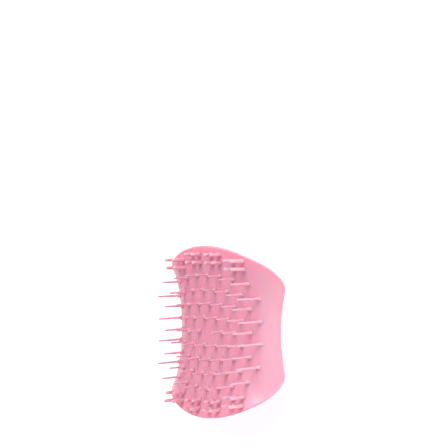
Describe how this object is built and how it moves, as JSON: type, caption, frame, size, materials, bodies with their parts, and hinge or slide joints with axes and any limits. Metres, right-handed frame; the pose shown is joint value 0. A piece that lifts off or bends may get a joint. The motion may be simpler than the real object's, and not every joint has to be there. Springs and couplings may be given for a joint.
{
  "type": "scalp massager brush",
  "caption": "Palm-held scalp massager brush: a saddle-shaped face with rows of fine teeth, groups of studs at both ends, and a domed back cover.",
  "frame": {"origin": "centre of the flat land under the back cover, on the plane that the brush rests on", "axes": "+Z the way the teeth point, +Y along the brush's length, +X across it"},
  "size_m": [0.0704, 0.0868, 0.0381],
  "materials": {
    "face_plastic": "satin, soft",
    "cover_plastic": "satin, soft",
    "tooth_plastic": "satin, slightly translucent",
    "stud_plastic": "satin, slightly translucent"
  },
  "bodies": {
    "root": {"face_shell": "face_plastic", "back_cover": "cover_plastic", "tooth_row_1": "tooth_plastic", "tooth_row_2": "tooth_plastic", "tooth_row_3": "tooth_plastic", "tooth_row_4": "tooth_plastic", "tooth_row_5": "tooth_plastic", "tooth_row_6": "tooth_plastic", "tooth_row_7": "tooth_plastic", "tooth_row_8": "tooth_plastic", "tooth_row_9": "tooth_plastic", "studs_front_1": "stud_plastic", "studs_front_2": "stud_plastic", "studs_front_3": "stud_plastic", "studs_front_4": "stud_plastic", "studs_rear_1": "stud_plastic", "studs_rear_2": "stud_plastic", "studs_rear_3": "stud_plastic", "studs_rear_4": "stud_plastic"}
  },
  "joints": []
}
